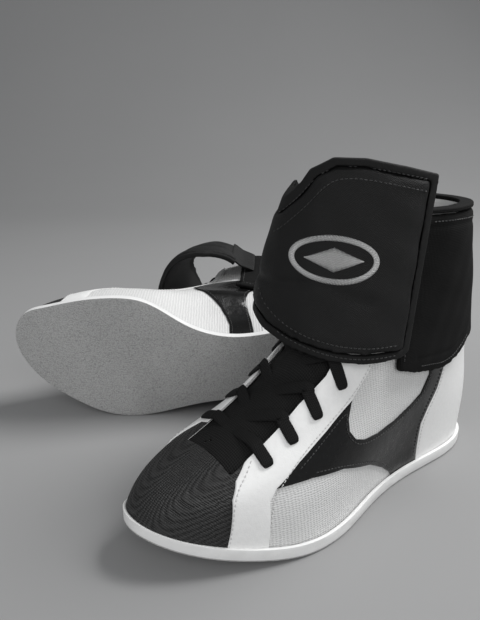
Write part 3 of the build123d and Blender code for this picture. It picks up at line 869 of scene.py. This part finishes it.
def lace_spans():
    """The lace's runs as lists of (place, up) for one boot."""
    spans = []
    lift = LACE_THICKNESS / 2 + 0.15
    tops = {}
    for row, (_, _, _, hole, edge) in enumerate(THROAT_ROWS):
        for side in (1, -1):
            tops[row, side] = [throat_point(row, side, reach) for reach in (hole, edge + 1.3)]
    for row in range(len(THROAT_ROWS)):
        for side in (1, -1):
            (hole_at, hole_up), (edge_at, edge_up) = tops[row, side]
            across = (edge_at - hole_at).normalized()
            rise = [(hole_at - hole_up * 2.4 - across * 0.4, hole_up),
                    (hole_at + hole_up * 0.5 - across * 0.9, hole_up),
                    (hole_at + hole_up * (lift + 0.3) + across * 1.2, hole_up),
                    (hole_at.lerp(edge_at, 0.6) + (hole_up + edge_up).normalized() * (lift + 0.3),
                     edge_up),
                    (edge_at + edge_up * lift + across * 1.0, edge_up),
                    (edge_at + edge_up * (lift - 0.5) + across * 5.0, edge_up)]
            far_top, far_edge = tops[max(row - 1, 0), -side]
            under = far_edge[0] - far_edge[1] * 5.2
            deep = far_top[0] - far_top[1] * 5.0
            middle = (edge_at + across * 5.0 + edge_up * lift).lerp(under, 0.5)
            bow = (edge_up + far_edge[1]).normalized()
            rise += [(middle + bow * (1.2 + 1.0 * side), bow), (under, far_edge[1]),
                     (deep, far_top[1])]
            spans.append(rise)
    top_row = len(THROAT_ROWS) - 1
    for side in (1, -1):
        (start, start_up), (end, end_up) = tops[top_row, side][1], tops[top_row - 1, side][1]
        inwards = Vector((0, -side, 0))
        spans.append([(start - start_up * 3.0, start_up), (start + start_up * lift + inwards * 2, start_up),
                      (start + start_up * (lift + 0.4) + inwards * 5 + Vector((0, 0, -3)), start_up),
                      (start.lerp(end, 0.6) + end_up * 2.4 + inwards * 7, end_up)])
    return spans


RIBBON_SIDES = 14


def ribbon(made, run, width, thickness):
    """A flat rounded band swept through places with their up directions."""
    points = [place for place, _ in run]
    ups = [up for _, up in run]
    dense = []
    for i in range(len(points) - 1):
        before = points[max(i - 1, 0)]
        after = points[min(i + 2, len(points) - 1)]
        a, b = points[i], points[i + 1]
        steps = max(3, int((b - a).length / 2.0))
        for step in range(steps + (i == len(points) - 2)):
            s = step / steps
            place = 0.5 * ((2 * a) + (b - before) * s + (2 * before - 5 * a + 4 * b - after) * s * s
                           + (3 * a - before - 3 * b + after) * s * s * s)
            dense.append((place, ups[i].lerp(ups[i + 1], s).normalized()))
    rings = []
    gone = 0.0
    for i, (place, up) in enumerate(dense):
        gone += (place - dense[max(i - 1, 0)][0]).length
        wide = width * min(1.0, 0.45 + gone / 9.0)
        along = dense[min(i + 1, len(dense) - 1)][0] - dense[max(i - 1, 0)][0]
        along = along.normalized() if along.length > 1e-6 else Vector((1, 0, 0))
        side = along.cross(up)
        side = side.normalized() if side.length > 1e-4 else Vector((0, 1, 0))
        top = side.cross(along)
        ring = []
        for k in range(RIBBON_SIDES):
            turned = 2 * math.pi * k / RIBBON_SIDES
            c, s = math.cos(turned), math.sin(turned)
            ring.append(made.verts.new(
                place + side * (math.copysign(abs(c) ** 0.7, c) * wide / 2)
                + top * (math.copysign(abs(s) ** 0.8, s) * thickness / 2)))
        rings.append(ring)
    for ring, after in zip(rings, rings[1:]):
        for i in range(RIBBON_SIDES):
            beside = (i + 1) % RIBBON_SIDES
            made.faces.new((ring[i], ring[beside], after[beside], after[i]))
    made.faces.new(list(reversed(rings[0])))
    made.faces.new(rings[-1])


lace_made = bmesh.new()
for run in lace_spans():
    ribbon(lace_made, run, LACE_WIDTH, LACE_THICKNESS)
bmesh.ops.recalc_face_normals(lace_made, faces=lace_made.faces)
lace_mesh = bpy.data.meshes.new("lace")
lace_made.to_mesh(lace_mesh)
lace_made.free()
place_pair("lace", lace_mesh, "boot", LACE_BRAID, ("lace",))
panel("lace_aglets", AGLET_PLASTIC, edge=0.4)


# ------------------------------------------------------------------ floor, light and camera (metres)
def plain(name, value, roughness):
    """Matt paper, very slightly mottled."""
    made, tree, principled = shader(name, (value, value, value), roughness)
    place = tree.nodes.new("ShaderNodeTexCoord")
    mottle = noise(tree, place.outputs["Object"], 3.0, 4.0)
    tint(tree, principled, mottle, (value * 0.97,) * 3, (value * 1.03,) * 3)
    return made


def paper_sweep():
    """A floor that curves up into a backdrop behind the boots."""
    profile = [(-4.0, 0.0), (0.0, 0.0), (1.0, 0.0)]
    profile += [(1.0 + 1.2 * math.sin(turned), 1.2 - 1.2 * math.cos(turned))
                for turned in (i * math.pi / 32 for i in range(1, 17))]
    profile += [(2.2, 4.0)]
    mesh = bpy.data.meshes.new("paper_sweep")
    mesh.from_pydata([(x, y, z - 0.0004) for y, z in profile for x in (-5.0, 5.0)], [],
                     [(2 * i, 2 * i + 1, 2 * i + 3, 2 * i + 2) for i in range(len(profile) - 1)])
    for polygon in mesh.polygons:
        polygon.use_smooth = True
    mesh.materials.append(plain("grey_paper", 0.26, 0.85))
    return bpy.data.objects.new("floor", mesh)


floor = paper_sweep()
bpy.context.scene.collection.objects.link(floor)
bpy.context.scene.view_settings.view_transform = "Standard"


def soft_light(name, place, target, power, size):
    """A square lamp at a place, turned towards a target."""
    data = bpy.data.lights.new(name, "AREA")
    data.energy = power
    data.size = size
    light = bpy.data.objects.new(name, data)
    bpy.context.scene.collection.objects.link(light)
    light.location = place
    light.rotation_euler = (Vector(target) - Vector(place)).to_track_quat("-Z", "Y").to_euler()


soft_light("key", (1.0, 0.35, 1.5), (0, 0, 0.08), 34, 0.8)
soft_light("fill", (-1.3, -1.2, 1.1), (0, 0, 0.08), 10, 1.4)
soft_light("front", (0.5, -1.8, 1.0), (0, 0, 0.1), 13, 1.2)

world = bpy.data.worlds.new("studio")
world.use_nodes = True
world.node_tree.nodes["Background"].inputs[0].default_value = (0.9, 0.92, 0.95, 1)
world.node_tree.nodes["Background"].inputs[1].default_value = 0.35
bpy.context.scene.world = world

camera_data = bpy.data.cameras.new("view")
camera_data.lens = 36
camera_data.sensor_width = 36
camera_data.sensor_fit = "AUTO"
camera = bpy.data.objects.new("view", camera_data)
bpy.context.scene.collection.objects.link(camera)
left_heel = PLACES["left"].translation
camera.location = (left_heel.x - 0.1659, left_heel.y - 0.4607, 0.2442)
camera.rotation_euler = (math.radians(72.09), 0, 0)
bpy.context.scene.camera = camera
